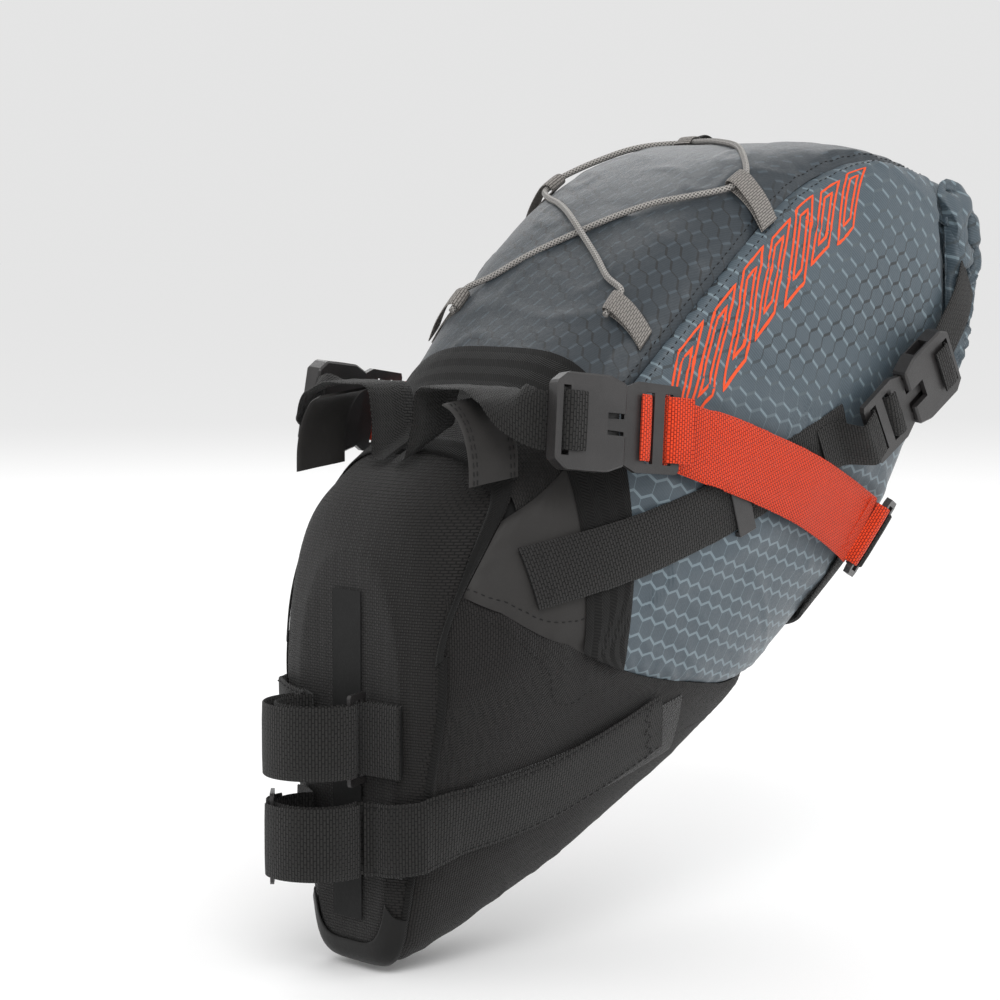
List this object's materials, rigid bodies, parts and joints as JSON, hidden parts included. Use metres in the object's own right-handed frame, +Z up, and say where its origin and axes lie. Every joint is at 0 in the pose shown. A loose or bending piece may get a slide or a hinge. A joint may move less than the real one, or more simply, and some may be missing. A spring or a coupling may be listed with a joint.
{
  "type": "bicycle saddle bag",
  "caption": "Roll-top saddle bag that tapers down to the seatpost, with hook-and-loop post straps, saddle rail straps, side compression straps, side-release buckles and a bungee.",
  "frame": {"origin": "on the seatpost axis, about 14 mm below the height of the saddle rails where the straps cross them", "axes": "+X to the rear of the bicycle, +Y to its right, +Z up along the seatpost axis"},
  "size_m": [0.3443, 0.2008, 0.3479],
  "materials": {
    "hex_ripstop": "woven ripstop, satin",
    "dark_ripstop": "woven ripstop, satin",
    "ballistic_nylon": "coarse weave, matte",
    "coated_grey": "rubbery coating, matte",
    "herringbone_tape": "herringbone weave",
    "coated_black": "smooth coating",
    "black_webbing": "woven webbing",
    "orange_webbing": "woven webbing",
    "acetal": "fine moulded texture",
    "loop_pile": "fuzzy loop pile",
    "grey_webbing": "ribbed webbing",
    "grey_cord": "braided sheath",
    "grey_liner": "plain weave",
    "grip_rubber": "matte"
  },
  "bodies": {
    "bag": {"belly_strap_left": "black_webbing", "belly_strap_right": "black_webbing", "bungee_left": "grey_cord", "bungee_right": "grey_cord", "cinch_buckle_left_socket": "acetal", "cinch_buckle_right_socket": "acetal", "cinch_strap_left": "black_webbing", "cinch_strap_right": "black_webbing", "collar_tape": "herringbone_tape", "cord_loop_front_left": "grey_webbing", "cord_loop_front_right": "grey_webbing", "cord_loop_middle_left": "grey_webbing", "cord_loop_middle_right": "grey_webbing", "front_panel": "ballistic_nylon", "grip_panel_left": "coated_grey", "grip_panel_right": "coated_grey", "inner_liner": "grey_liner", "light_loop": "black_webbing", "lower_anchor": "black_webbing", "lower_boot": "coated_black", "lower_hull": "ballistic_nylon", "lower_pile": "loop_pile", "lower_post_strap": "black_webbing", "lower_ring": "acetal", "orange_strap_left": "orange_webbing", "orange_strap_right": "orange_webbing", "post_pad": "grip_rubber", "rail_flap_left": "coated_grey", "rail_flap_right": "coated_grey", "rail_strap_left": "black_webbing", "rail_strap_right": "black_webbing", "rear_panel_below": "hex_ripstop", "release_buckle_left_socket": "acetal", "release_buckle_right_socket": "acetal", "roll_web_left": "black_webbing", "roll_web_right": "black_webbing", "side_band_left": "herringbone_tape", "side_band_right": "herringbone_tape", "side_panel_left": "hex_ripstop", "side_panel_right": "hex_ripstop", "tail_ring_left": "acetal", "tail_ring_right": "acetal", "top_panel": "dark_ripstop", "upper_anchor": "black_webbing", "upper_pile": "loop_pile", "upper_post_strap": "black_webbing", "upper_ring": "acetal"},
    "release_left": {"release_buckle_left_prong": "acetal", "release_buckle_left_web": "orange_webbing"},
    "cinch_left": {"cinch_buckle_left_prong": "acetal", "cinch_buckle_left_web": "black_webbing"},
    "keeper_left_slider": {"keeper_left": "acetal"},
    "release_right": {"release_buckle_right_prong": "acetal", "release_buckle_right_web": "orange_webbing"},
    "cinch_right": {"cinch_buckle_right_prong": "acetal", "cinch_buckle_right_web": "black_webbing"},
    "keeper_right_slider": {"keeper_right": "acetal"},
    "lower_tail_end": {"lower_tail": "black_webbing"},
    "upper_tail_end": {"upper_tail": "black_webbing"},
    "roll": {"roll_top": "hex_ripstop"}
  },
  "joints": [
    {"name": "release_left_slide", "type": "slide", "parent": "bag", "child": "release_left", "axis": [0.9744, -0.1949, -0.1121], "range_m": [0, 0.012]},
    {"name": "cinch_left_slide", "type": "slide", "parent": "bag", "child": "cinch_left", "axis": [-0.8162, 0.035, -0.5767], "range_m": [0, 0.018]},
    {"name": "keeper_left_slide", "type": "slide", "parent": "bag", "child": "keeper_left_slider", "axis": [0.9333, -0.0468, 0.3559], "range_m": [-0.006, 0.006]},
    {"name": "release_right_slide", "type": "slide", "parent": "bag", "child": "release_right", "axis": [0.9744, 0.1949, -0.1121], "range_m": [0, 0.012]},
    {"name": "cinch_right_slide", "type": "slide", "parent": "bag", "child": "cinch_right", "axis": [-0.8162, -0.035, -0.5767], "range_m": [0, 0.018]},
    {"name": "keeper_right_slide", "type": "slide", "parent": "bag", "child": "keeper_right_slider", "axis": [0.9334, 0.0458, 0.3559], "range_m": [-0.006, 0.006]},
    {"name": "lower_tail_peel", "type": "hinge", "parent": "bag", "child": "lower_tail_end", "pos_m": [0.00811, -0.02007, -0.162], "axis": [0, 0, -1], "range_deg": [0, 60]},
    {"name": "upper_tail_peel", "type": "hinge", "parent": "bag", "child": "upper_tail_end", "pos_m": [0.00811, 0.02007, -0.121], "axis": [0, 0, 1], "range_deg": [0, 60]},
    {"name": "roll_swing", "type": "hinge", "parent": "bag", "child": "roll", "pos_m": [0.2935, 0, 0.101], "axis": [0, -1, 0], "range_deg": [0, 14]}
  ]
}
